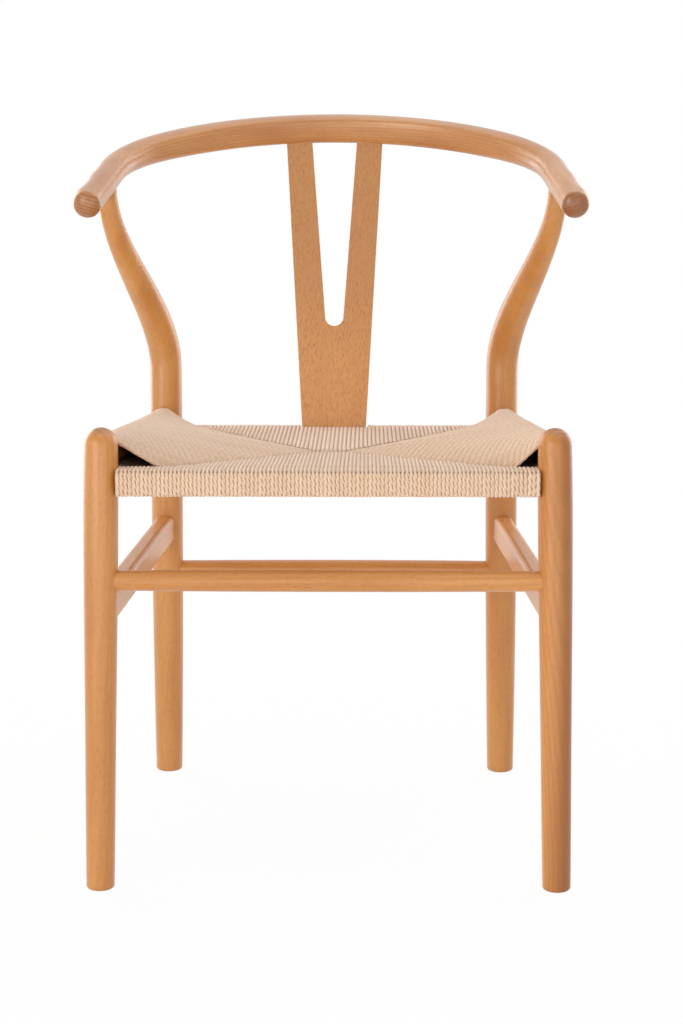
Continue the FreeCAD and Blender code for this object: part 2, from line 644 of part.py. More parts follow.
def build():
    """All pieces by name."""
    nodes = {}
    front = front_leg()
    rear = rear_leg()
    top = bow()

    # Ends of every rail and stretcher, on the axes of the legs that they join
    front_rail_end = front_leg_axis(FRONT_RAIL_HEIGHT)
    rear_rail_end = rear_leg_axis(REAR_RAIL_HEIGHT)
    side_rail_ends = (front_leg_axis(SIDE_RAIL_FRONT_HEIGHT), rear_leg_axis(SIDE_RAIL_REAR_HEIGHT))
    front_stretcher_end = front_leg_axis(FRONT_STRETCHER_HEIGHT)
    rear_stretcher_end = rear_leg_axis(REAR_STRETCHER_HEIGHT)
    side_stretcher_ends = (
        front_leg_axis(SIDE_STRETCHER_FRONT_HEIGHT), rear_leg_axis(SIDE_STRETCHER_REAR_HEIGHT))

    # Seat rails; the shoulders of the front and rear ones are flat, beside the legs
    ends = (other_side(front_rail_end), front_rail_end)
    inset = ACROSS * (front_leg_diameter(FRONT_RAIL_HEIGHT) / 2)
    body = rounded_bar(
        ends[0] + inset, ends[1] - inset, FRONT_RAIL_DEPTH, FRONT_RAIL_TALLNESS, CROSS_RAIL_ROUNDING)
    nodes["front_seat_rail"] = tenoned(body, *ends, RAIL_TENON_DIAMETER, (mirrored(front), front))
    ends = (other_side(rear_rail_end), rear_rail_end)
    rail_shift = at(0, REAR_RAIL_FRONT + REAR_RAIL_DEPTH / 2, REAR_RAIL_HEIGHT) - (ends[0] + ends[1]) / 2
    inset = ACROSS * (rear_leg_diameter(REAR_RAIL_HEIGHT) / 2)
    rear_rail = rounded_bar(
        ends[0] + rail_shift + inset, ends[1] + rail_shift - inset,
        REAR_RAIL_DEPTH, REAR_RAIL_TALLNESS, CROSS_RAIL_ROUNDING)
    slot_middle = at(0, REAR_RAIL_FRONT + REAR_STRIP_DEPTH + REAR_SLOT_DEPTH / 2, REAR_RAIL_HEIGHT)
    slot = slab(
        slot_middle, ACROSS, UP.cross(ACROSS), REAR_SLOT_LENGTH, REAR_SLOT_DEPTH,
        -REAR_RAIL_TALLNESS, REAR_RAIL_TALLNESS)
    rail = tenoned(rear_rail, *ends, RAIL_TENON_DIAMETER, (mirrored(rear), rear))
    nodes["rear_seat_rail"] = rail.cut([slot] + splat_tenons(JOINT_CLEARANCE, MORTISE_RELIEF)[-1:])
    body = rounded_bar(*side_rail_ends, SIDE_RAIL_WIDTH, SIDE_RAIL_TALLNESS, SIDE_RAIL_ROUNDING)
    side_rail = tenoned(body, *side_rail_ends, RAIL_TENON_DIAMETER, (front, rear)).cut(tacks(JOINT_CLEARANCE))
    nodes["right_seat_rail"] = side_rail
    nodes["left_seat_rail"] = mirrored(side_rail)

    # Stretchers
    ends = (other_side(front_stretcher_end), front_stretcher_end)
    nodes["front_stretcher"] = tenoned(
        spindle(*ends), *ends, STRETCHER_TENON_DIAMETER, (mirrored(front), front))
    ends = (other_side(rear_stretcher_end), rear_stretcher_end)
    nodes["rear_stretcher"] = tenoned(
        spindle(*ends), *ends, STRETCHER_TENON_DIAMETER, (mirrored(rear), rear))
    body = rounded_bar(
        *side_stretcher_ends, SIDE_STRETCHER_THICKNESS, SIDE_STRETCHER_TALLNESS, SIDE_STRETCHER_ROUNDING)
    side_stretcher = tenoned(body, *side_stretcher_ends, STRETCHER_TENON_DIAMETER, (front, rear))
    nodes["right_stretcher"] = side_stretcher
    nodes["left_stretcher"] = mirrored(side_stretcher)

    # Legs, with a mortise for each rail and stretcher
    front_holes = [
        mortise(other_side(front_rail_end), front_rail_end, RAIL_TENON_DIAMETER),
        mortise(*side_rail_ends, RAIL_TENON_DIAMETER),
        mortise(other_side(front_stretcher_end), front_stretcher_end, STRETCHER_TENON_DIAMETER),
        mortise(*side_stretcher_ends, STRETCHER_TENON_DIAMETER),
    ]
    rear_holes = [
        mortise(other_side(rear_rail_end), rear_rail_end, RAIL_TENON_DIAMETER),
        mortise(*side_rail_ends, RAIL_TENON_DIAMETER),
        mortise(other_side(rear_stretcher_end), rear_stretcher_end, STRETCHER_TENON_DIAMETER),
        mortise(*side_stretcher_ends, STRETCHER_TENON_DIAMETER),
    ]
    nodes["right_front_leg"] = front.cut(front_holes)
    nodes["left_front_leg"] = mirrored(nodes["right_front_leg"])
    nodes["right_rear_leg"] = rear.cut(top).fuse(arm_tenon(0, 0)).removeSplitter().cut(rear_holes)
    nodes["left_rear_leg"] = mirrored(nodes["right_rear_leg"])

    # Back
    arm_hole = arm_tenon(JOINT_CLEARANCE, MORTISE_RELIEF)
    splat_holes = splat_tenons(JOINT_CLEARANCE, MORTISE_RELIEF)
    nodes["arm_bow"] = top.cut([arm_hole, mirrored(arm_hole)] + splat_holes[:-1])
    nodes["back_splat"] = splat().cut([top, rear_rail]).fuse(splat_tenons(0, 0)).removeSplitter()

    # Woven seat
    nodes["front_weave"] = front_weave()
    nodes["rear_weave"] = rear_weave()
    nodes["right_weave"] = side_weave()
    nodes["left_weave"] = mirrored(nodes["right_weave"])
    right_tacks = tacks(0)
    nodes["cord_tacks"] = Part.makeCompound(right_tacks + [mirrored(tack) for tack in right_tacks])
    return nodes


def main():
    """Write each piece to its own file."""
    os.makedirs("parts", exist_ok=True)
    for name, shape in build().items():
        box = shape.optimalBoundingBox()
        print(
            f"{name}: solids {len(shape.Solids)}, valid {shape.isValid()}, volume {shape.Volume:.0f},"
            f" box {box.XMin:.1f} {box.YMin:.1f} {box.ZMin:.1f} {box.XMax:.1f} {box.YMax:.1f} {box.ZMax:.1f}")
        shape.exportStep(f"parts/{name}.step")


main()
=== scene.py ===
import logging
import math
from dataclasses import dataclass, field
from enum import Enum
from functools import partial
from typing import Any, Dict, List, Optional, Tuple

import bpy
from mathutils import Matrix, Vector


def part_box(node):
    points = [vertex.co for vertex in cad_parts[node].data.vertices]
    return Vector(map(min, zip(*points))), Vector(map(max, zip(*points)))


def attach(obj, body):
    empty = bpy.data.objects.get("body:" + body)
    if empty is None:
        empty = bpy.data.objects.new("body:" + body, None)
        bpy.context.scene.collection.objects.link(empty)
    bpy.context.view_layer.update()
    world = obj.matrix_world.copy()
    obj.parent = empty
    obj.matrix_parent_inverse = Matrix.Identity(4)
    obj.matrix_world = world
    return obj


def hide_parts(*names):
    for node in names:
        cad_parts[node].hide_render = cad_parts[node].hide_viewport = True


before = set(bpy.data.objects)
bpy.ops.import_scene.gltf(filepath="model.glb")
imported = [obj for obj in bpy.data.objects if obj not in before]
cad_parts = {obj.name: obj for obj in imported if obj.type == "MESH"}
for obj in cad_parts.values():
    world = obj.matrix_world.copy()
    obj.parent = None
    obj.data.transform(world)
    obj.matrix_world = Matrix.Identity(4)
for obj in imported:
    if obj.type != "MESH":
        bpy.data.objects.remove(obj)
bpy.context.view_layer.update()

LOG = logging.getLogger("chair")
MM = 0.001
BODY = "root"
WHITE = (1.0, 1.0, 1.0, 1.0)
# A wave texture of scale 1 repeats after this length.
WAVE_LENGTH = math.pi / 10
NOISE_MEAN = (0.5, 0.5, 0.5)
# Settings that many nodes share
SMOOTH = {"interpolation_type": "SMOOTHSTEP"}
RGBA = {"data_type": "RGBA"}

Pair = Tuple[float, float]
Point = Tuple[float, float, float]
# Points in millimetres, each with the radius of its bend
Loop = List[Tuple[Point, float]]
Socket = bpy.types.NodeSocket
Tree = bpy.types.NodeTree


def linear(code: str) -> Tuple[float, float, float, float]:
    """Turn an sRGB hex colour into linear RGBA.

    Args:
        code: Six hex digits after a hash sign.

    Returns:
        Red, green, blue and an alpha of one.
    """
    parts = [int(code[place:place + 2], 16) / 255 for place in (1, 3, 5)]
    red, green, blue = (p / 12.92 if p <= 0.04045 else ((p + 0.055) / 1.055) ** 2.4 for p in parts)
    return red, green, blue, 1.0


def add_node(tree: Tree, kind: str, inputs: Optional[Dict[Any, Any]] = None, **settings: Any) -> Any:
    """Add a node to a tree, with its settings and its inputs.

    Args:
        tree: The tree that gets the node.
        kind: The node's type name.
        inputs: Socket name or number to a value, or to the output socket to link from.
        settings: Properties of the node.

    Returns:
        The node's output sockets.
    """
    node = tree.nodes.new(kind)
    for name, value in settings.items():
        setattr(node, name, value)
    for key, value in (inputs or {}).items():
        if isinstance(value, Socket):
            tree.links.new(value, node.inputs[key])
        else:
            node.inputs[key].default_value = value
    return node.outputs


def limits(pair: Pair, first: int = 1) -> Dict[int, float]:
    """Give a pair of numbers to two inputs of a node that follow each other."""
    return {first: pair[0], first + 1: pair[1]}


def new_material(name: str) -> Tuple[bpy.types.Material, Tree]:
    """Make a material, and give it with its empty node tree."""
    made = bpy.data.materials.new(name)
    made.use_nodes = True
    made.node_tree.nodes.clear()
    return made, made.node_tree


def ply_lobes(tree: Tree, ring: Socket, run: Socket, turn: Socket, pitch: Any, half_plies: Any) -> Socket:
    """Wind the plies of a cord round its strand, in a material or in the strand's own mesh.

    Args:
        tree: The tree that gets the nodes.
        ring: The place round the strand.
        run: The length along the strand.
        turn: The angle by which this strand's plies lag.
        pitch: The angle by which a groove winds on in a metre.
        half_plies: Half the number of plies.

    Returns:
        0 in the grooves between the plies, up to 1 on the plies.
    """
    node = partial(add_node, tree)
    parts = node("ShaderNodeSeparateXYZ", {0: ring})
    angle = node("ShaderNodeMath", {0: parts[1], 1: parts[0]}, operation="ARCTAN2")[0]
    along = node("ShaderNodeMath", {0: run, 1: pitch, 2: turn}, operation="MULTIPLY_ADD")[0]
    phase = node("ShaderNodeMath", {0: angle, 1: half_plies, 2: along}, operation="MULTIPLY_ADD")[0]
    wave = node("ShaderNodeMath", {0: phase}, operation="SINE")[0]
    return node("ShaderNodeMath", {0: wave}, operation="ABSOLUTE")[0]


class Grain(Enum):
    """The way the fibres of a wooden piece run; the value turns the pattern's Z axis to them."""

    UP = (0.0, 0.0, 0.0)
    ACROSS = (0.0, math.pi / 2, 0.0)
    DEEP = (-math.pi / 2, 0.0, 0.0)
    LEANING = (math.radians(-10.5), 0.0, 0.0)
    ROUND = (math.radians(16.74), 0.0, 0.0)


@dataclass(frozen=True)
class Beech:
    """Steamed beech, sanded and lacquered: honey brown, with short dark ray flecks along the grain.

    Sizes of the pattern are in millimetres, across the grain and along it. A range is the part of a
    pattern's values over which its strength changes.
    """

    light: str = "#D0904C"
    dark: str = "#C27F3B"
    streak: str = "#A9662A"
    ring: str = "#A8642A"
    fleck: str = "#8A4A14"
    end: str = "#A06432"
    end_line: str = "#6A3A16"
    broad_mm: Pair = (30.0, 260.0)
    broad_range: Pair = (0.32, 0.68)
    streak_mm: Pair = (1.9, 70.0)
    streak_range: Pair = (0.45, 0.75)
    streak_strength: float = 0.25
    # Real flecks are about 0.5 mm wide. They are drawn at about twice that, to show in the render.
    fleck_mm: Pair = (2.6, 8.5)
    fleck_range: Pair = (0.12, 0.48)
    fleck_patch_mm: Pair = (16.0, 50.0)
    fleck_patch_range: Pair = (0.3, 0.65)
    fleck_strength: float = 0.2
    ring_mm: float = 5.5
    ring_unevenness: float = 2.5
    ring_range: Pair = (0.3, 1.0)
    ring_strength: float = 0.16
    pith_mm: Pair = (34.0, 23.0)
    pith_lean_degrees: float = 2.2
    # Whether the pith is measured from the middle of the piece itself
    centred: bool = False
    # End grain sets in between these two shares of the surface's direction along the fibres.
    end_share: Pair = (0.55, 0.98)
    end_strength: float = 0.75
    end_line_range: Pair = (0.45, 0.95)
    end_line_strength: float = 0.55
    bow_radius_mm: float = 278.0
    # A darker tone, for heartwood and for painted shade, sets in between these two places along an axis of
    # the chair, in metres.
    heart_and_shade_from: Optional[Pair] = None
    heart_and_shade_axis: int = 0
    heart_and_shade: str = "#8A5122"
    heart_and_shade_strength: float = 0.75
    heart_and_shade_at_ends: bool = False
    roughness: Pair = (0.36, 0.44)
    roughness_range: Pair = (0.3, 0.7)
    ior: float = 1.5
    lacquer: float = 0.4
    lacquer_roughness: float = 0.3
    pore_depth_mm: float = 0.1
    pore_strength: float = 0.15

    def polar(self, tree: Tree, place: Socket, normal: Socket) -> Tuple[Socket, Socket]:
        """Bend the grain round the bow's centre.

        Args:
            tree: The material's tree.
            place: The place in the bow's plane.
            normal: The surface's direction in the same frame.

        Returns:
            The place with Z along the bow, and the share of the normal that points along it.
        """
        node = partial(add_node, tree)
        parts = node("ShaderNodeSeparateXYZ", {0: place})
        flat = node("ShaderNodeCombineXYZ", {0: parts[0], 1: parts[1]})[0]
        radius = node("ShaderNodeVectorMath", {0: flat}, operation="LENGTH")["Value"]
        angle = node("ShaderNodeMath", {0: parts[0], 1: parts[1]}, operation="ARCTAN2")[0]
        along = node("ShaderNodeMath", {0: angle, 1: self.bow_radius_mm}, operation="MULTIPLY")[0]
        bent = node("ShaderNodeCombineXYZ", {0: radius, 1: parts[2], 2: along})[0]
        round_way = node("ShaderNodeVectorMath", {0: flat, 1: (0.0, 0.0, 1.0)}, operation="CROSS_PRODUCT")[0]
        round_way = node("ShaderNodeVectorMath", {0: round_way}, operation="NORMALIZE")[0]
        share = node("ShaderNodeVectorMath", {0: normal, 1: round_way}, operation="DOT_PRODUCT")["Value"]
        return bent, share

    def grain_place(self, tree: Tree, grain: Grain, middle: Point) -> Tuple[Socket, Socket]:
        """Give the place in the wood in millimetres, with Z along the grain.

        Args:
            tree: The material's tree.
            grain: The way the fibres run.
            middle: The pattern's own zero, in metres: the bow's centre, or any place for a straight piece.

        Returns:
            The place, and the share of the surface's normal that points along the grain.
        """
        node = partial(add_node, tree)
        found = node("ShaderNodeTexCoord")
        place = node("ShaderNodeMapping", {
            "Vector": found["Object"], "Rotation": grain.value, "Scale": (MM,) * 3, "Location": middle,
        }, vector_type="TEXTURE")[0]
        normal = node("ShaderNodeMapping", {
            "Vector": found["Normal"], "Rotation": grain.value,
        }, vector_type="TEXTURE")[0]
        if grain is Grain.ROUND:
            return self.polar(tree, place, normal)
        return place, node("ShaderNodeSeparateXYZ", {0: normal})[2]

    def stretched(self, tree: Tree, place: Socket, size: Pair) -> Socket:
        """Divide a place by a pattern's size across the grain and along it."""
        steps = (1 / size[0], 1 / size[0], 1 / size[1])
        return add_node(tree, "ShaderNodeVectorMath", {0: place, 1: steps}, operation="MULTIPLY")[0]

    def material(self, name: str, grain: Grain, middle: Point) -> bpy.types.Material:
        """Make the material of one wooden piece.

        Args:
            name: The material's name.
            grain: The way the fibres run.
            middle: The pattern's own zero, in metres.

        Returns:
            The material.
        """
        made, tree = new_material(name)
        node = partial(add_node, tree)
        place, end_share = self.grain_place(tree, grain, middle)
        broad, streak, patches = [
            node("ShaderNodeTexNoise", {
                "Vector": self.stretched(tree, place, size), "Scale": 1.0, "Detail": detail,
            })[0]
            for size, detail in ((self.broad_mm, 2.0), (self.streak_mm, 3.0), (self.fleck_patch_mm, 1.0))]
        broad = node("ShaderNodeMapRange", {0: broad, **limits(self.broad_range)})[0]
        streaks = node("ShaderNodeMapRange", {
            0: streak, **limits(self.streak_range), 4: self.streak_strength,
        })[0]
        cells = node("ShaderNodeTexVoronoi", {
            "Vector": self.stretched(tree, place, self.fleck_mm), "Scale": 1.0,
        }, feature="F1")["Distance"]
        spots = node("ShaderNodeMapRange", {
            0: cells, **limits(self.fleck_range), 3: 1.0, 4: 0.0,
        }, **SMOOTH)[0]
        patches = node("ShaderNodeMapRange", {
            0: patches, **limits(self.fleck_patch_range), 3: self.fleck_strength / 2, 4: self.fleck_strength,
        })[0]
        flecks = node("ShaderNodeMath", {0: spots, 1: patches}, operation="MULTIPLY")[0]
        pith = node("ShaderNodeMapping", {
            "Vector": place, "Rotation": (math.radians(self.pith_lean_degrees), 0.0, 0.0),
            "Location": (*self.pith_mm, 0.0),
        })[0]
        wave = node("ShaderNodeTexWave", {
            "Vector": pith, "Scale": WAVE_LENGTH / self.ring_mm, "Distortion": self.ring_unevenness,
            "Detail": 2.0, "Detail Scale": 0.3,
        }, wave_type="RINGS", rings_direction="Z")["Fac"]
        rings = node("ShaderNodeMapRange", {0: wave, **limits(self.ring_range), 4: self.ring_strength})[0]
        end_grain = node("ShaderNodeMath", {0: end_share}, operation="ABSOLUTE")[0]
        end_grain = node("ShaderNodeMapRange", {
            0: end_grain, **limits(self.end_share), 4: self.end_strength,
        }, **SMOOTH)[0]
        # The year rings stand out on the end grain.
        end_lines = node("ShaderNodeMapRange", {
            0: wave, **limits(self.end_line_range), 4: self.end_line_strength,
        }, **SMOOTH)[0]
        end_lines = node("ShaderNodeMath", {0: end_lines, 1: end_grain}, operation="MULTIPLY")[0]
        layers = [
            (end_grain, self.end), (rings, self.ring), (streaks, self.streak), (flecks, self.fleck),
            (end_lines, self.end_line),
        ]
        # Heartwood and painted shade darken the wood between two places along one axis.
        if self.heart_and_shade_from:
            along = node("ShaderNodeSeparateXYZ", {0: node("ShaderNodeTexCoord")["Object"]})[self.heart_and_shade_axis]
            heart_and_shade = node("ShaderNodeMapRange", {
                0: along, **limits(self.heart_and_shade_from), 4: self.heart_and_shade_strength,
            }, **SMOOTH)[0]
            if self.heart_and_shade_at_ends:
                heart_and_shade = node("ShaderNodeMath", {0: heart_and_shade, 1: end_grain}, operation="MULTIPLY")[0]
            layers.insert(1, (heart_and_shade, self.heart_and_shade))
        colour = node("ShaderNodeMix", {0: broad, 6: linear(self.dark), 7: linear(self.light)}, **RGBA)[2]
        for factor, shade in layers:
            colour = node("ShaderNodeMix", {0: factor, 6: colour, 7: linear(shade)}, **RGBA)[2]
        rough = node("ShaderNodeMapRange", {
            0: streak, **limits(self.roughness_range), **limits(self.roughness, 3),
        })[0]
        height = node("ShaderNodeMath", {0: streak, 1: flecks}, operation="SUBTRACT")[0]
        bump = node("ShaderNodeBump", {
            "Strength": self.pore_strength, "Distance": self.pore_depth_mm * MM, "Height": height,
        })[0]
        shader = node("ShaderNodeBsdfPrincipled", {
            "Base Color": colour, "Roughness": rough, "IOR": self.ior, "Normal": bump,
            "Coat Weight": self.lacquer, "Coat Roughness": self.lacquer_roughness,
        })[0]
        node("ShaderNodeOutputMaterial", {"Surface": shader})
        return made


@dataclass(frozen=True)
class PaperCord:
    """Twisted kraft paper cord of three plies: matt and pale, with painted shade in the grooves between the
    plies.

    Sides are measured from 0 on a strand's crest to 1 where it touches its neighbour.
    """

    pale: str = "#EED2B9"
    tan: str = "#E1BF9F"
    # The grooves' colour is painted shade between the plies.
    groove: str = "#4A2C14"
    fuzz: str = "#FFEBDD"
    fibre_mm: float = 0.8
    fibre_height: float = 0.15
    ply_mark_mm: float = 7.0
    plies: int = 3
    # The painted shade in the grooves is darkest where two strands touch.
    groove_share: float = 0.5
    groove_sides: Pair = (0.2, 0.75)
    crest_shade_strength: float = 0.15
    groove_shade_strength: float = 0.95
    groove_depth_mm: float = 0.5
    bump_strength: float = 0.9
    # Painted shade on each strand's sides, where it meets its neighbours.
    shade_sides: Pair = (0.7, 1.0)
    side_shade_strength: float = 0.2
    strand_variety: float = 0.5
    # Painted shade darkens the gaps between the strands where they bend over the rail's outer edge.
    edge_mm: float = 2.0
    edge_sides: Pair = (0.3, 0.75)
    edge_shade_strength: float = 0.85
    roughness: float = 0.82
    ior: float = 1.45
    sheen: float = 0.9
    sheen_roughness: float = 0.5

    @property
    def pitch(self) -> float:
        """The angle by which the plies wind on in a metre."""
        return math.pi / (self.ply_mark_mm * MM)

    def material(self, name: str) -> bpy.types.Material:
        """Make the cord's material, which reads the strand's own attributes.

        Args:
            name: The material's name.

        Returns:
            The material.
        """
        made, tree = new_material(name)
        node = partial(add_node, tree)
        ring = node("ShaderNodeAttribute", attribute_name="ring")["Vector"]
        tone, run, turn, from_edge = [
            node("ShaderNodeAttribute", attribute_name=label)["Fac"]
            for label in ("tone", "run", "turn", "edge")]
        lobe = ply_lobes(tree, ring, run, turn, self.pitch, self.plies / 2)
        # Painted shade in the grooves between the plies, strongest where strands touch.
        grooves = node("ShaderNodeMapRange", {
            0: lobe, 1: 0.0, 2: self.groove_share, 3: 1.0, 4: 0.0,
        }, **SMOOTH)[0]
        # Strands touch at the ends of the ring's first axis.
        sides = node("ShaderNodeSeparateXYZ", {0: ring})[0]
        sides = node("ShaderNodeMath", {0: sides}, operation="ABSOLUTE")[0]
        touching = node("ShaderNodeMapRange", {
            0: sides, **limits(self.groove_sides), 3: self.crest_shade_strength, 4: self.groove_shade_strength,
        }, **SMOOTH)[0]
        grooves = node("ShaderNodeMath", {0: grooves, 1: touching}, operation="MULTIPLY")[0]
        # Painted shade on the strands' sides.
        shade = node("ShaderNodeMapRange", {
            0: sides, **limits(self.shade_sides), 4: self.side_shade_strength,
        }, **SMOOTH)[0]
        # Painted shade in the gaps over the rail's outer edge.
        edge = node("ShaderNodeMapRange", {
            0: from_edge, 1: 0.0, 2: self.edge_mm * MM, 3: self.edge_shade_strength, 4: 0.0,
        }, **SMOOTH)[0]
        gap_shade = node("ShaderNodeMapRange", {0: sides, **limits(self.edge_sides), 4: edge}, **SMOOTH)[0]
        for dark in (shade, gap_shade):
            grooves = node("ShaderNodeMath", {0: grooves, 1: dark}, operation="MAXIMUM")[0]
        place = node("ShaderNodeTexCoord")["Object"]
        fibres = node("ShaderNodeTexNoise", {
            "Vector": place, "Scale": 1 / (self.fibre_mm * MM), "Detail": 2.0,
        })[0]
        mixed = node("ShaderNodeMath", {
            0: tone, 1: self.strand_variety, 2: fibres,
        }, operation="MULTIPLY_ADD", use_clamp=True)[0]
        colour = node("ShaderNodeMix", {0: mixed, 6: linear(self.pale), 7: linear(self.tan)}, **RGBA)[2]
        # The painted shade darkens the cord's colour.
        colour = node("ShaderNodeMix", {0: grooves, 6: colour, 7: linear(self.groove)}, **RGBA)[2]
        height = node("ShaderNodeMath", {
            0: fibres, 1: self.fibre_height, 2: lobe,
        }, operation="MULTIPLY_ADD")[0]
        bump = node("ShaderNodeBump", {
            "Strength": self.bump_strength, "Distance": self.groove_depth_mm * MM, "Height": height,
        })[0]
        shader = node("ShaderNodeBsdfPrincipled", {
            "Base Color": colour, "Roughness": self.roughness, "IOR": self.ior, "Normal": bump,
            "Sheen Weight": self.sheen, "Sheen Roughness": self.sheen_roughness,
            "Sheen Tint": linear(self.fuzz),
        })[0]
        node("ShaderNodeOutputMaterial", {"Surface": shader})
        return made


@dataclass(frozen=True)
class TackSteel:
    """Plain drawn steel wire tacks: grey, slightly scratched."""

    bright: str = "#9A9A98"
    dull: str = "#77777A"
    scratch_mm: float = 0.6
    roughness: float = 0.38

    def material(self, name: str) -> bpy.types.Material:
        """Make the steel's material.

        Args:
            name: The material's name.

        Returns:
            The material.
        """
        made, tree = new_material(name)
        node = partial(add_node, tree)
        place = node("ShaderNodeTexCoord")["Object"]
        marks = node("ShaderNodeTexNoise", {
            "Vector": place, "Scale": 1 / (self.scratch_mm * MM), "Detail": 3.0,
        })[0]
        colour = node("ShaderNodeMix", {0: marks, 6: linear(self.bright), 7: linear(self.dull)}, **RGBA)[2]
        shader = node("ShaderNodeBsdfPrincipled", {
            "Base Color": colour, "Metallic": 1.0, "Roughness": self.roughness,
        })[0]
        node("ShaderNodeOutputMaterial", {"Surface": shader})
        return made


@dataclass
class WoodenFrame:
    """The legs, rails, stretchers, bow and splat, which stay as they are and get their wood."""

    plain: Beech = Beech()
    # The right front leg is cut near the heart, which shows as curved rings. Its outer side is darker:
    # partly heartwood, partly painted shade.
    hearted_and_shaded: Beech = Beech(
        light="#D18F48", dark="#BE7934", ring="#8E5220", ring_strength=0.2, ring_mm=4.6,
        pith_mm=(27.0, -23.0), pith_lean_degrees=7.0, centred=True,
        heart_and_shade="#8A4A14", heart_and_shade_from=(0.208, 0.233), lacquer=0.25)
    # The fibres of the rear legs follow their curve, so no end grain shows on them.
    swept: Beech = Beech(light="#D2944E", ring_strength=0.04, streak_strength=0.18, end_strength=0.0)
    # The right rear leg gets a darker copy: painted shade for the chair's dimmer right side.
    swept_shaded: Beech = Beech(
        light="#C98A44", dark="#B87632", ring_strength=0.04, streak_strength=0.18, end_strength=0.0)
    # The bow's grain runs round it. Its right tip's end grain is darker: partly heartwood, partly painted
    # shade.
    bent: Beech = Beech(
        light="#CA8F52", dark="#B4743A", broad_mm=(30.0, 120.0), streak_mm=(1.7, 90.0), streak_strength=0.35,
        ring_strength=0.3, ring_mm=3.6, pith_mm=(-278.0, 90.0), pith_lean_degrees=0.6,
        end_share=(0.25, 0.65), heart_and_shade="#7A3E10", heart_and_shade_from=(0.0, 0.1), heart_and_shade_at_ends=True, lacquer=0.6)
    # The splat is a flat board, full of flecks, with painted shade that darkens it towards its top.
    board: Beech = Beech(
        light="#E2A25F", dark="#DC9A58", streak_mm=(1.3, 26.0), streak_strength=0.35, ring_strength=0.05,
        fleck_mm=(1.15, 7.0), fleck_strength=0.65, heart_and_shade="#BC8248", heart_and_shade_from=(0.40, 0.62), heart_and_shade_axis=2,
        heart_and_shade_strength=1.0)
    # The rails that the cord covers are left raw.
    raw: Beech = Beech(light="#B87648", dark="#A4653A", lacquer=0.0, roughness=(0.8, 0.9))
    steel: TackSteel = TackSteel()
    bow_centre: Point = (0.0, -0.0334, 0.6631)
    # Each piece is cut from another place in the wood.
    pattern_step: Point = (0.037, 0.071, 0.213)

    def pieces(self) -> Dict[str, Tuple[Beech, Grain]]:
        """List every wooden node with its finish and the way its grain runs."""
        return {
            "front_seat_rail": (self.raw, Grain.ACROSS),
            "rear_seat_rail": (self.plain, Grain.ACROSS),
            "right_seat_rail": (self.raw, Grain.DEEP),
            "left_seat_rail": (self.raw, Grain.DEEP),
            "front_stretcher": (self.plain, Grain.ACROSS),
            "rear_stretcher": (self.plain, Grain.ACROSS),
            "right_stretcher": (self.plain, Grain.DEEP),
            "left_stretcher": (self.plain, Grain.DEEP),
            "right_front_leg": (self.hearted_and_shaded, Grain.UP),
            "left_front_leg": (self.plain, Grain.UP),
            "right_rear_leg": (self.swept_shaded, Grain.UP),
            "left_rear_leg": (self.swept, Grain.UP),
            "arm_bow": (self.bent, Grain.ROUND),
            "back_splat": (self.board, Grain.LEANING),
        }

    def dress(self) -> None:
        """Give every wooden node and the tacks their materials."""
        for number, (name, (beech, grain)) in enumerate(self.pieces().items()):
            middle = tuple(step * number for step in self.pattern_step)
            if grain is Grain.ROUND:
                middle = self.bow_centre
            elif beech.centred:
                middle = tuple(sum(ends) / 2 for ends in zip(*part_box(name)))
            kind = "lacquered" if beech.lacquer else "raw"
            self.finish(name, beech.material(f"{kind}_beech_{name}", grain, middle))
        self.finish("cord_tacks", self.steel.material("drawn_steel"))

    def finish(self, name: str, made: bpy.types.Material) -> None:
        """Put a material in every slot of a node."""
        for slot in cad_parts[name].material_slots:
            slot.material = made
        LOG.info("%s: %s", name, made.name)


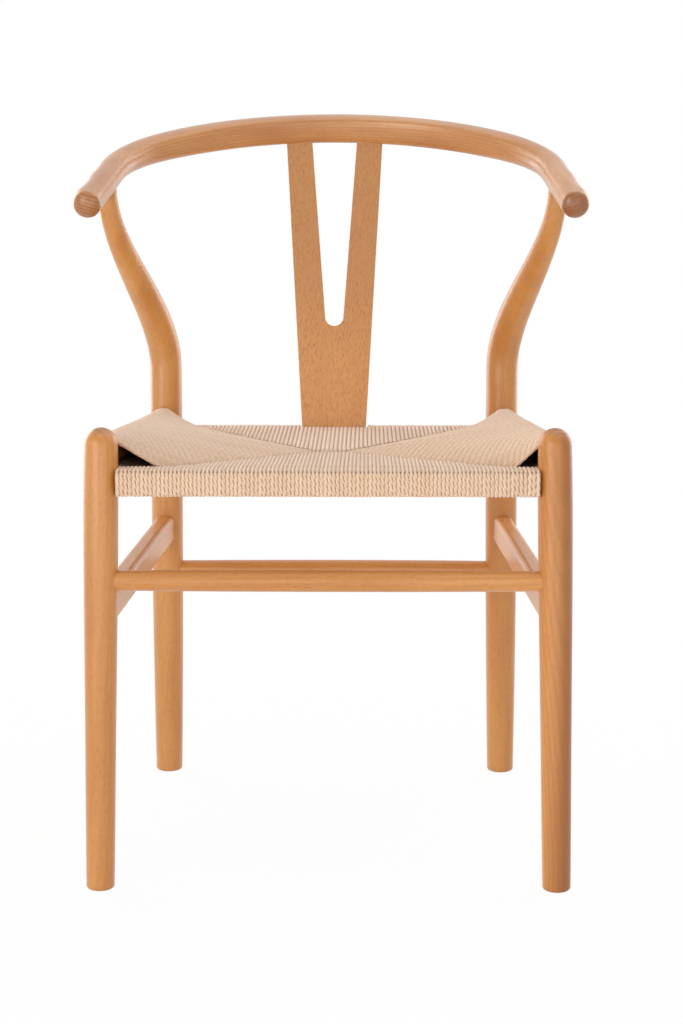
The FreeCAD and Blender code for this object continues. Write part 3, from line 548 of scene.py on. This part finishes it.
@dataclass
class StrandTree:
    """The node tree that turns the corner points of strands into round, bent cord."""

    name: str = "cord_strands"
    # What each field of the seat gives, by the kind of socket
    inputs: Dict[str, Tuple[str, ...]] = field(default_factory=lambda: {
        "NodeSocketFloat": (
            "Cord diameter", "Squeeze", "Turn step", "Edge place", "Run step", "Short run", "Ply step",
            "Ply depth", "Ply pitch", "Half plies", "Wobble", "Wobble length"),
        "NodeSocketInt": ("Ring sides", "Bend points", "Seed"),
        "NodeSocketMaterial": ("Cord",),
    })

    def stored(self, tree: Tree, geometry: Socket, values: Dict[str, Tuple[str, Socket]]) -> Socket:
        """Store numbers as attributes.

        Args:
            tree: The tree that gets the nodes.
            geometry: What gets the attributes.
            values: Each attribute's name, with its domain and its value.

        Returns:
            The geometry with its attributes.
        """
        for name, (domain, value) in values.items():
            geometry = add_node(tree, "GeometryNodeStoreNamedAttribute", {
                "Geometry": geometry, "Name": name, "Value": value,
            }, data_type="FLOAT", domain=domain)[0]
        return geometry

    def build(self) -> Tree:
        """Make the tree.

        Returns:
            The tree, whose inputs are set on each modifier by socket identifier.
        """
        tree = bpy.data.node_groups.new(self.name, "GeometryNodeTree")
        tree.interface.new_socket("Geometry", in_out="INPUT", socket_type="NodeSocketGeometry")
        for kind, names in self.inputs.items():
            for name in names:
                tree.interface.new_socket(name, in_out="INPUT", socket_type=kind)
        tree.interface.new_socket("Geometry", in_out="OUTPUT", socket_type="NodeSocketGeometry")
        node = partial(add_node, tree)
        given = node("NodeGroupInput")
        named = {
            name: node("GeometryNodeInputNamedAttribute", {"Name": name}, data_type="FLOAT")[0]
            for name in ("bend", "lead", "run", "turn", "carved")}
        place = node("GeometryNodeInputPosition")[0]
        index = node("GeometryNodeInputIndex")[0]
        curve = node("GeometryNodeMeshToCurve", {0: given["Geometry"]})[0]
        curve = node("GeometryNodeFilletCurve", {
            "Curve": curve, "Count": given["Bend points"], "Radius": named["bend"], "Limit Radius": True,
        }, mode="POLY")[0]
        # Short runs, round the rails, are cut finely enough for the plies; long ones stay plain tubes.
        after, before = [
            node("GeometryNodeOffsetPointInCurve", {"Point Index": index, "Offset": step})["Point Index"]
            for step in (1, -1)]
        next_place = node("GeometryNodeFieldAtIndex", {
            "Index": after, "Value": place,
        }, data_type="FLOAT_VECTOR")[0]
        gap = node("ShaderNodeVectorMath", {0: place, 1: next_place}, operation="DISTANCE")["Value"]
        short = node("ShaderNodeMath", {0: gap, 1: given["Short run"]}, operation="LESS_THAN")[0]
        short_before = node("GeometryNodeFieldAtIndex", {
            "Index": before, "Value": short,
        }, data_type="FLOAT")[0]
        carved = node("ShaderNodeMath", {0: short, 1: short_before}, operation="MINIMUM")[0]
        curve = self.stored(tree, curve, {"carved": ("POINT", carved)})
        step = node("ShaderNodeMapRange", {0: short, 3: given["Run step"], 4: given["Ply step"]})[0]
        cuts = node("ShaderNodeMath", {0: gap, 1: step}, operation="DIVIDE")[0]
        cuts = node("ShaderNodeMath", {0: cuts}, operation="FLOOR")[0]
        curve = node("GeometryNodeSubdivideCurve", {"Curve": curve, "Cuts": cuts})[0]
        # No strand lies quite straight.
        drift = node("ShaderNodeVectorMath", {0: place, 1: given["Wobble length"]}, operation="DIVIDE")[0]
        drift = node("ShaderNodeVectorMath", {0: drift, 1: given["Seed"]}, operation="ADD")[0]
        drift = node("ShaderNodeTexNoise", {"Vector": drift, "Scale": 1.0, "Detail": 1.0})["Color"]
        drift = node("ShaderNodeVectorMath", {0: drift, 1: NOISE_MEAN}, operation="SUBTRACT")[0]
        drift = node("ShaderNodeVectorMath", {0: drift, "Scale": given["Wobble"]}, operation="SCALE")[0]
        curve = node("GeometryNodeSetPosition", {"Geometry": curve, "Offset": drift})[0]
        # The run is counted both ways from the loop's first corner, so that neighbours agree there.
        length = node("GeometryNodeSplineParameter")["Length"]
        whole = node("GeometryNodeSplineLength")["Length"]
        most = node("ShaderNodeMath", {0: whole, 1: named["lead"]}, operation="SUBTRACT")[0]
        least = node("ShaderNodeMath", {0: named["lead"], 1: -1.0}, operation="MULTIPLY")[0]
        run = node("ShaderNodeMath", {0: length, 1: most, 2: least}, operation="WRAP")[0]
        edge = node("ShaderNodeMath", {0: run, 1: given["Edge place"]}, operation="SUBTRACT")[0]
        edge = node("ShaderNodeMath", {0: edge}, operation="ABSOLUTE")[0]
        tone = node("FunctionNodeRandomValue", {
            "ID": index, "Seed": given["Seed"],
        }, data_type="FLOAT")["Value"]
        turn = node("ShaderNodeMath", {
            0: index, 1: given["Turn step"], 2: tone,
        }, operation="MULTIPLY_ADD")[0]
        curve = self.stored(tree, curve, {
            "run": ("POINT", run), "edge": ("POINT", edge), "tone": ("CURVE", tone), "turn": ("CURVE", turn),
        })
        radius = node("ShaderNodeMath", {0: given["Cord diameter"], 1: 2.0}, operation="DIVIDE")[0]
        ring = node("GeometryNodeCurvePrimitiveCircle", {
            "Resolution": given["Ring sides"], "Radius": radius,
        }, mode="RADIUS")[0]
        round_place = node("ShaderNodeVectorMath", {0: place}, operation="NORMALIZE")[0]
        ring = node("GeometryNodeStoreNamedAttribute", {
            "Geometry": ring, "Name": "ring", "Value": round_place,
        }, data_type="FLOAT_VECTOR", domain="POINT")[0]
        width = node("ShaderNodeCombineXYZ", {0: given["Squeeze"], 1: 1.0, 2: 1.0})[0]
        ring = node("GeometryNodeTransform", {"Geometry": ring, "Scale": width})[0]
        tube = node("GeometryNodeCurveToMesh", {"Curve": curve, "Profile Curve": ring})[0]
        # The grooves between the plies are sunk in where the cord's material draws them.
        round_place = node("GeometryNodeInputNamedAttribute", {"Name": "ring"}, data_type="FLOAT_VECTOR")[0]
        sunk = ply_lobes(
            tree, round_place, named["run"], named["turn"], given["Ply pitch"], given["Half plies"])
        sunk = node("ShaderNodeMath", {0: sunk, 1: 1.0}, operation="SUBTRACT")[0]
        for factor in (named["carved"], given["Ply depth"]):
            sunk = node("ShaderNodeMath", {0: sunk, 1: factor}, operation="MULTIPLY")[0]
        outward = node("GeometryNodeInputNormal")[0]
        inward = node("ShaderNodeVectorMath", {0: outward, "Scale": sunk}, operation="SCALE")[0]
        tube = node("GeometryNodeSetPosition", {"Geometry": tube, "Offset": inward})[0]
        tube = node("GeometryNodeSetShadeSmooth", {"Geometry": tube, "Shade Smooth": True})[0]
        tube = node("GeometryNodeSetMaterial", {"Geometry": tube, "Material": given["Cord"]})[0]
        node("NodeGroupOutput", {"Geometry": tube})
        return tree


@dataclass(frozen=True)
class Lay:
    """The path of one strand round a rail, in a plane across the rail, in millimetres.

    The first coordinate points from the rail's middle to the middle of the seat, the second up.
    """

    half_width: float
    half_height: float
    rounding: float
    cord: float
    clearance: float
    dive_bend: float = 2.3
    # Bends and sags less than these are left straight.
    level_limit: float = 0.02
    least_sag: float = 0.1
    # A sagging run bends with a radius of so many times the place of its middle.
    sag_bend_share: float = 4.0

    @property
    def bend(self) -> float:
        """The radius of the strand's middle line round the rail's edges."""
        return self.rounding + self.clearance + self.cord / 2

    @property
    def side(self) -> float:
        """The strand's middle line beside the rail."""
        return self.half_width + self.clearance + self.cord / 2

    @property
    def top(self) -> float:
        """The strand's middle line over the rail."""
        return self.half_height + self.clearance + self.cord / 2

    def touching(self, corner: Vector, point: Vector, radius: float, turn: int) -> Vector:
        """Find the normal of the line from a point that touches the circle about a corner.

        Args:
            corner: The circle's centre.
            point: Where the line starts.
            radius: The circle's radius.
            turn: 1 for the upper side, -1 for the lower one.

        Returns:
            The line's unit normal, away from the circle.
        """
        way = point - corner
        lean = radius / way.length
        way.normalize()
        return way * lean + Vector((-way.y, way.x)) * (turn * math.sqrt(1 - lean * lean))

    def meeting(self, tip: Vector, normal: Vector, level: float) -> float:
        """Find where the line from the mitre meets the level run over or under the rail.

        Args:
            tip: The line's end at the mitre.
            normal: The line's normal.
            level: The height of the level run.

        Returns:
            The place towards the middle of the seat; for a level line, the end of the rail's flat face.
        """
        if abs(normal.x) < self.level_limit:
            return self.half_width - self.rounding
        return tip.x + normal.y * (tip.y - level) / normal.x

    def corners(self, tip_top: Vector, tip_bottom: Vector, under: bool, sag: float = 0.0) -> List[Point]:
        """List the strand's corners with the radius of the bend at each.

        Args:
            tip_top: The top of the mitre, on the strand's outer side.
            tip_bottom: The bottom of the mitre, on the strand's outer side.
            under: Whether the strand lies along the rail's underside.
            sag: How far the top run hangs below a straight line.

        Returns:
            Places in the plane of a closed loop, each with its bend.
        """
        outer = self.bend + self.cord / 2
        flat, stand = self.half_width - self.rounding, self.half_height - self.rounding
        first = self.touching(Vector((flat, stand)), tip_top, outer, 1)
        last = self.touching(Vector((flat if under else -flat, -stand)), tip_bottom, outer, -1)
        upper = tip_top - Vector((0.0, self.cord / 2 / first.y))
        lower = tip_bottom - Vector((0.0, self.cord / 2 / last.y))
        inner_top = self.meeting(upper, first, self.top)
        loop = [(-self.side, self.top, self.bend)]
        if not under:
            loop.append((-self.side, lower.y + last.x * (lower.x + self.side) / last.y, self.bend))
        else:
            loop.append((-self.side, -self.top, self.bend))
            if abs(last.x) > self.level_limit:
                loop.append((self.meeting(lower, last, -self.top), -self.top, self.bend))
        loop += [(lower.x, lower.y, self.dive_bend), (upper.x, upper.y, self.dive_bend)]
        if sag > self.least_sag:
            middle = (upper + Vector((inner_top, self.top))) / 2
            loop.append((middle.x, middle.y - sag, self.sag_bend_share * middle.x))
        if abs(first.x) > self.level_limit:
            loop.append((inner_top, self.top, self.bend))
        return loop

    def wrap(self) -> List[Point]:
        """List the corners of a plain turn round the rail, and points between them on top and below."""
        places = (-self.side, -self.side / 2, 0.0, self.side / 2, self.side)
        lower = [(place, -self.top, self.bend) for place in places]
        upper = [(-x, -y, bend) for x, y, bend in lower]
        return upper[-1:] + lower + upper[:-1]


@dataclass(frozen=True)
class CrossRail:
    """The front or the rear seat rail, and how the cord lies on it. Sizes are in millimetres.

    Depths are measured back from the axes of the front legs.
    """

    # Where its front face is, its size from front to rear and its own height, and its middle's height
    front: float
    depth: float
    tallness: float
    height: float
    # The corner of its mitres: place across, depth, and height over and under the rail's middle
    corner: Point
    # The axis and the radius of the leg beside it
    leg: Pair
    # 1 where the middle of the seat lies behind the rail, -1 where it lies in front
    inward: int
    strands: int
    ridge_strands: int
    turns: int
    # The weaver went so much nearer to the right leg, with so many strands in place of plain turns.
    right_shift: float = 0.0
    right_strands: int = 0
    # The strands' ends stand this much over those that they dive behind.
    lift: float = 0.0
    # The side strands next to the rail hang down, and are heaped up on the side rail, by so much.
    sag: float = 0.0
    heap: float = 0.0

    def corner_place(self, sign: int) -> float:
        """Give how far the mitre's corner is from the middle, on the right for 1 and on the left for -1."""
        return self.corner[0] + (self.right_shift if sign > 0 else 0.0)

    def counts(self, sign: int) -> Tuple[int, int]:
        """Count the strands from the ridge to one corner, and the plain turns from there to the leg."""
        extra = self.right_strands if sign > 0 else 0
        return self.strands + extra, self.turns - extra


@dataclass
class WovenSeat:
    """The four fields of paper cord, strand by strand. Sizes are in millimetres.

    Depths are measured back from the axes of the front legs.
    """

    cord: float = 3.8
    clearance: float = 0.4
    cross_rounding: float = 3.0
    side_rounding: float = 6.5
    mitre_setback: float = 1.3
    front: CrossRail = CrossRail(
        front=-12.0, depth=24.0, tallness=19.0, height=403.2, corner=(158.0, 16.9, 11.8), leg=(216.3, 16.7),
        inward=1, strands=37, ridge_strands=8, turns=11, right_shift=19.0, right_strands=5)
    rear: CrossRail = CrossRail(
        front=373.0, depth=34.0, tallness=17.8, height=397.3, corner=(141.0, 368.4, 12.0), leg=(189.4, 17.8),
        inward=-1, strands=28, ridge_strands=7, turns=8, lift=1.8, sag=5.0, heap=2.0)
    # Sag and heap fade towards the ridge.
    sag_power: int = 2
    heap_power: int = 4
    # In front of the splat, the cord goes round a thinner strip of the rear rail.
    strip_depth: float = 13.0
    strip_rounding: float = 0.7
    slot_side: float = 37.5
    side_width: float = 18.0
    side_tallness: float = 24.0
    side_front: Point = (215.8, 0.0, 429.3)
    side_rear: Point = (189.2, 387.5, 414.2)
    side_strands: int = 46
    ridge: Point = (15.5, 194.0, 407.5)
    pad: float = 18.0
    # Neighbours press each other flat: a strand is this much wider than it is thick.
    squeeze: float = 1.2
    # The plies of each strand lag those of the strand to its left by this much, in radians.
    turn_step: float = -0.76
    # Plain turns spread round the leg, up to this share of its radius.
    turn_spread: float = 0.37
    wobble: float = 0.7
    wobble_length: float = 18.0
    ring_sides: int = 9
    bend_points: int = 6
    run_step: float = 10.0
    short_run: float = 40.0
    ply_step: float = 1.8
    ply_depth: float = 0.4
    finish: PaperCord = PaperCord()
    # The strands of the side fields get less painted shade in their grooves and on their sides.
    side_finish: PaperCord = PaperCord(groove_shade_strength=0.4, side_shade_strength=0.12)
    # Those of the rear field are paler, which is painted light, and get less painted shade.
    rear_finish: PaperCord = PaperCord(pale="#F6DCC5", tan="#EBCCAE", groove_shade_strength=0.7, side_shade_strength=0.1)

    def mitre(self, share: float, rail: CrossRail, face: int, sign: int) -> Vector:
        """Give a point of a mitre, as if it were on the right.

        Args:
            share: 0 at the corner, 1 at the ridge.
            rail: The rail that the mitre starts from.
            face: 1 for the top of the seat, -1 for its underside.
            sign: 1 for the right side, -1 for the left one.

        Returns:
            The point, with its depth from the front legs.
        """
        _, depth, rise = rail.corner
        corner = Vector((rail.corner_place(sign), depth, rail.height + face * rise))
        ridge = Vector(self.ridge)
        if face < 0:
            ridge.z -= self.pad
        return corner.lerp(ridge, share)

    def lay(self, rail: CrossRail, across: float) -> Tuple[Lay, float]:
        """Give the path round the front or rear rail at a place along it, and the rail's middle depth."""
        depth, rounding = rail.depth, self.cross_rounding
        if rail is self.rear and abs(across) < self.slot_side:
            depth, rounding = self.strip_depth, self.strip_rounding
        lay = Lay(depth / 2, rail.tallness / 2, rounding, self.cord, self.clearance)
        return lay, rail.front + depth / 2

    def turns(self, rail: CrossRail, sign: int) -> List[Loop]:
        """Make the plain turns next to one leg, which spread round it.

        Args:
            rail: The rail that they go round.
            sign: 1 for the right leg, -1 for the left one.

        Returns:
            The turns, each a closed loop.
        """
        corner = rail.corner_place(sign)
        _, count = rail.counts(sign)
        axis, radius = rail.leg
        reach = radius + self.cord / 2
        lay, middle = self.lay(rail, corner)
        loops = []
        for step in range(count):
            share = (step + 1) / count
            across = corner - self.cord / 2 + (axis - reach - corner + self.cord / 2) * share
            loop = []
            for x, z, bend in lay.wrap():
                beside = min(abs(x), self.turn_spread * reach)
                spread = share * (reach - math.sqrt(reach * reach - beside * beside))
                loop.append(((sign * (across + spread), middle + rail.inward * x, rail.height + z), bend))
            loops.append(loop)
        return loops

    def cross_loops(self, rail: CrossRail) -> List[Loop]:
        """Make the strands of the front or rear field.

        Args:
            rail: The rail that they go round.

        Returns:
            The strands from left to right, each a closed loop.
        """
        places, loops = [], []
        for step in range(rail.ridge_strands):
            places.append((self.ridge[0] * (2 * (step + 0.5) / rail.ridge_strands - 1), 1.0))
        for sign in (1, -1):
            corner = rail.corner_place(sign)
            count, _ = rail.counts(sign)
            for step in range(count):
                share = (step + 0.5) / count
                places.append((sign * (corner + (self.ridge[0] - corner) * share), share))
            loops += self.turns(rail, sign)
        for across, share in places:
            lay, middle = self.lay(rail, across)
            top, bottom = [self.mitre(share, rail, face, 1) for face in (1, -1)]
            reach = (top.y - middle) * rail.inward - self.mitre_setback
            top.z += rail.lift
            corners = lay.corners(
                Vector((reach, top.z - rail.height)), Vector((reach, bottom.z - rail.height)), True)
            loops.append([
                ((across, middle + rail.inward * x, rail.height + z), bend) for x, z, bend in corners])
        return sorted(loops, key=lambda loop: loop[0][0][0])

    def side_loops(self, sign: int) -> List[Loop]:
        """Make the strands of one side field.

        Args:
            sign: 1 for the right field, -1 for the left one.

        Returns:
            The strands from front to rear, each a closed loop.
        """
        lay = Lay(self.side_width / 2, self.side_tallness / 2, self.side_rounding, self.cord, self.clearance)
        start, end = Vector(self.side_front), Vector(self.side_rear)
        loops = []
        for rail in (self.front, self.rear):
            for step in range(self.side_strands):
                share = (step + 0.5) / self.side_strands
                top, bottom = [self.mitre(share, rail, face, sign) for face in (1, -1)]
                middle = start.lerp(end, (top.y - start.y) / (end.y - start.y))
                sag = rail.sag * (1 - share) ** self.sag_power
                middle.z += rail.heap * (1 - share) ** self.heap_power
                reach = middle.x - top.x - self.mitre_setback
                corners = lay.corners(
                    Vector((reach, top.z - middle.z)), Vector((reach, bottom.z - middle.z)), False, sag)
                loops.append([
                    ((sign * (middle.x - x), top.y, middle.z + z), bend) for x, z, bend in corners])
        return sorted(loops, key=lambda loop: loop[0][0][1])

    def lead(self, loop: Loop) -> float:
        """Measure a strand's top run, from where it dives, or from half way round a plain turn.

        Args:
            loop: The strand's corners, from the rail's outer edge on.

        Returns:
            The length back to the bend over the outer edge.
        """
        places = [Vector(place) for place, _ in loop]
        dives = [number for number, (_, bend) in enumerate(loop) if bend == Lay.dive_bend]
        first = dives[-1] if dives else len(loop) // 2
        rest = places[first:] + places[:1]
        return sum((after - before).length for before, after in zip(rest, rest[1:])) - loop[0][1]

    def piece(self, side: str, loops: List[Loop], tree: Tree, made: bpy.types.Material, seed: int) -> None:
        """Turn the loops of one field into a piece that replaces its node.

        Args:
            side: The field's side, which names the piece and the node.
            loops: The strands' corners.
            tree: The node tree that bends and thickens them.
            made: The cord's material.
            seed: Varies the strands of this field.
        """
        name, node = f"{side}_cord_strands", f"{side}_weave"
        front_axis = sum(corner.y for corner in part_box("right_front_leg")) / 2
        points, edges = [], []
        kept = {"bend": [], "lead": []}
        for loop in loops:
            first = len(points)
            points += [(x * MM, y * MM + front_axis, z * MM) for (x, y, z), _ in loop]
            kept["bend"] += [bend * MM for _, bend in loop]
            kept["lead"] += [self.lead(loop) * MM] * len(loop)
            edges += [(first + step, first + (step + 1) % len(loop)) for step in range(len(loop))]
        mesh = bpy.data.meshes.new(name)
        mesh.from_pydata(points, edges, [])
        for label, numbers in kept.items():
            mesh.attributes.new(label, "FLOAT", "POINT").data.foreach_set("value", numbers)
        piece = bpy.data.objects.new(name, mesh)
        bpy.context.scene.collection.objects.link(piece)
        modifier = piece.modifiers.new("strands", "NODES")
        modifier.node_group = tree
        values = {
            "Cord diameter": self.cord * MM, "Squeeze": self.squeeze, "Turn step": self.turn_step,
            # Half way round the first bend
            "Edge place": kept["bend"][0] * math.pi / 4,
            "Ring sides": self.ring_sides, "Bend points": self.bend_points,
            "Run step": self.run_step * MM, "Short run": self.short_run * MM,
            "Ply step": self.ply_step * MM, "Ply depth": self.ply_depth * MM,
            "Ply pitch": self.finish.pitch, "Half plies": self.finish.plies / 2,
            "Wobble": self.wobble * MM, "Wobble length": self.wobble_length * MM, "Seed": seed, "Cord": made,
        }
        for socket in tree.interface.items_tree:
            if socket.in_out == "INPUT" and socket.name in values:
                modifier[socket.identifier] = values[socket.name]
        graph = bpy.context.evaluated_depsgraph_get()
        solid = bpy.data.meshes.new_from_object(
            piece.evaluated_get(graph), preserve_all_data_layers=True, depsgraph=graph)
        piece.modifiers.clear()
        piece.data = solid
        bpy.data.meshes.remove(mesh)
        solid.name = name
        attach(piece, BODY)
        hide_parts(node)
        LOG.info("%s: %d strands, %d faces", name, len(loops), len(solid.polygons))

    def weave(self) -> None:
        """Make all four fields."""
        cross = self.finish.material("twisted_paper_cord")
        # The rear field's cord is painted paler, as painted light.
        pale = self.rear_finish.material("twisted_paper_cord_painted_light")
        # The side fields' cord gets less painted shade.
        less_shaded = self.side_finish.material("twisted_paper_cord_less_shade")
        tree = StrandTree().build()
        fields = {
            "front": (self.cross_loops(self.front), cross), "rear": (self.cross_loops(self.rear), pale),
            "right": (self.side_loops(1), less_shaded), "left": (self.side_loops(-1), less_shaded),
        }
        for seed, (side, (loops, made)) in enumerate(fields.items()):
            self.piece(side, loops, tree, made, seed)


@dataclass(frozen=True)
class Softbox:
    """A soft lamp that faces the chair: its place and sides in metres, its watts and the height it faces."""

    place: Point
    sides: Pair
    power: float
    target_height: float = 0.5


@dataclass
class Studio:
    """A white floor and surroundings, soft lamps and the camera. Sizes are in metres."""

    floor_size: float = 40.0
    floor_colour: str = "#F4F3F1"
    # How much of the floor's look is plain white, near the chair; the rest takes its shadow.
    floor_glow: float = 0.95
    # The floor's own colour fades to plain white between these distances from the chair.
    fade: Pair = (0.8, 2.5)
    # The surroundings' light at the far left and at the far right
    surround: Pair = (0.7, 0.35)
    camera_place: Point = (0.0363, -2.2484, 0.6953)
    camera_turn_degrees: Point = (80.96, 0.0, 0.66)
    focal_length: float = 75.335
    camera_reach: float = 100.0
    lamps: Dict[str, Softbox] = field(default_factory=lambda: {
        "left_softbox": Softbox((-2.2, -3.3, 1.0), (1.6, 1.8), 40.0),
        "right_softbox": Softbox((1.7, -3.6, 1.0), (1.2, 1.6), 9.0),
        "rear_left_softbox": Softbox((-2.3, 2.0, 1.1), (2.4, 2.1), 46.0),
        "rear_right_softbox": Softbox((2.3, 2.0, 1.1), (2.4, 2.1), 36.0),
        "top_softbox": Softbox((0.8, 0.2, 2.9), (3.2, 3.2), 32.0),
        "floor_softbox": Softbox((-0.2, -1.3, 0.02), (2.0, 1.0), 8.0, target_height=0.7),
    })

    def seen_directly(self, tree: Tree) -> Socket:
        """Give 1 for rays from the camera, from glossy surfaces and through clear ones, else 0."""
        rays = add_node(tree, "ShaderNodeLightPath")
        seen = rays["Is Camera Ray"]
        for name in ("Is Glossy Ray", "Is Transmission Ray"):
            seen = add_node(tree, "ShaderNodeMath", {0: seen, 1: rays[name]}, operation="MAXIMUM")[0]
        return seen

    def surroundings(self) -> None:
        """Make the world: white where it is seen, softer as a light, and dimmer on the right."""
        world = bpy.data.worlds.new("white_surroundings")
        bpy.context.scene.world = world
        world.use_nodes = True
        tree = world.node_tree
        tree.nodes.clear()
        node = partial(add_node, tree)
        across = node("ShaderNodeSeparateXYZ", {0: node("ShaderNodeTexCoord")["Generated"]})[0]
        soft = node("ShaderNodeMapRange", {0: across, 1: -1.0, 2: 1.0, **limits(self.surround, 3)})[0]
        strength = node("ShaderNodeMapRange", {0: self.seen_directly(tree), 3: soft, 4: 1.0})[0]
        shader = node("ShaderNodeBackground", {"Color": WHITE, "Strength": strength})[0]
        node("ShaderNodeOutputWorld", {"Surface": shader})

    def floor(self) -> None:
        """Make the floor: white, with a faint shadow under the chair."""
        half = self.floor_size / 2
        corners = [(-half, -half, 0), (half, -half, 0), (half, half, 0), (-half, half, 0)]
        mesh = bpy.data.meshes.new("studio_floor")
        mesh.from_pydata(corners, [], [(0, 1, 2, 3)])
        floor = bpy.data.objects.new("studio_floor", mesh)
        bpy.context.scene.collection.objects.link(floor)
        made, tree = new_material("white_floor")
        node = partial(add_node, tree)
        place = node("ShaderNodeTexCoord")["Object"]
        away = node("ShaderNodeVectorMath", {0: place}, operation="LENGTH")["Value"]
        glow = node("ShaderNodeMapRange", {
            0: away, **limits(self.fade), 3: self.floor_glow, 4: 1.0,
        }, **SMOOTH)[0]
        glow = node("ShaderNodeMath", {0: self.seen_directly(tree), 1: glow}, operation="MULTIPLY")[0]
        paint = node("ShaderNodeBsdfDiffuse", {"Color": linear(self.floor_colour)})[0]
        light = node("ShaderNodeEmission", {"Color": WHITE, "Strength": 1.0})[0]
        shader = node("ShaderNodeMixShader", {0: glow, 1: paint, 2: light})[0]
        node("ShaderNodeOutputMaterial", {"Surface": shader})
        mesh.materials.append(made)

    def light(self) -> None:
        """Hang the lamps."""
        for name, box in self.lamps.items():
            data = bpy.data.lights.new(name, "AREA")
            data.shape = "RECTANGLE"
            data.size, data.size_y = box.sides
            data.energy = box.power
            lamp = bpy.data.objects.new(name, data)
            lamp.location = box.place
            lamp.visible_camera = False
            way = Vector((0.0, 0.0, box.target_height)) - Vector(box.place)
            lamp.rotation_euler = way.to_track_quat("-Z", "Y").to_euler()
            bpy.context.scene.collection.objects.link(lamp)

    def camera(self) -> None:
        """Set the camera up at the photograph's viewpoint."""
        data = bpy.data.cameras.new("camera")
        data.lens = self.focal_length
        data.clip_end = self.camera_reach
        camera = bpy.data.objects.new("camera", data)
        camera.location = self.camera_place
        camera.rotation_euler = [math.radians(turn) for turn in self.camera_turn_degrees]
        bpy.context.scene.collection.objects.link(camera)
        bpy.context.scene.camera = camera

    def set_up(self) -> None:
        """Make the whole studio."""
        bpy.context.scene.view_settings.view_transform = "Standard"
        self.surroundings()
        self.floor()
        self.light()
        self.camera()
        LOG.info("studio: %d lamps", len(self.lamps))


def main() -> None:
    """Build the chair's looks and the studio."""
    logging.basicConfig(level=logging.INFO, format="%(name)s: %(message)s")
    WoodenFrame().dress()
    WovenSeat().weave()
    Studio().set_up()


if __name__ == "__main__":
    main()
